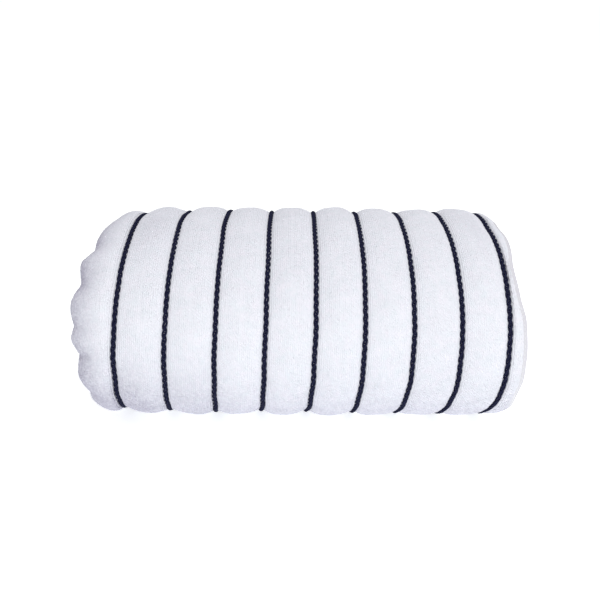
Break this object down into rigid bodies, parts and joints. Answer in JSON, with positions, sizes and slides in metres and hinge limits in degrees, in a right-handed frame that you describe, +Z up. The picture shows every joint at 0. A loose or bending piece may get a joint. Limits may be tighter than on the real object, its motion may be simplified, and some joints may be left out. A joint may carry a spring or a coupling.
{
  "type": "rolled beach towel",
  "caption": "Beach towel in white terry with narrow navy stripes, folded lengthwise, rolled up and lying on its side.",
  "frame": {"origin": "middle of the flattened underside, on the surface that the roll lies on", "axes": "+X along the roll towards the side hem, -Y to the front, +Z up"},
  "size_m": [0.3035, 0.2068, 0.1428],
  "materials": {
    "white_terry": "cotton terry, matt",
    "navy_loops": "raised cotton loops, matt"
  },
  "bodies": {
    "root": {"towel_roll": "white_terry"}
  },
  "joints": []
}
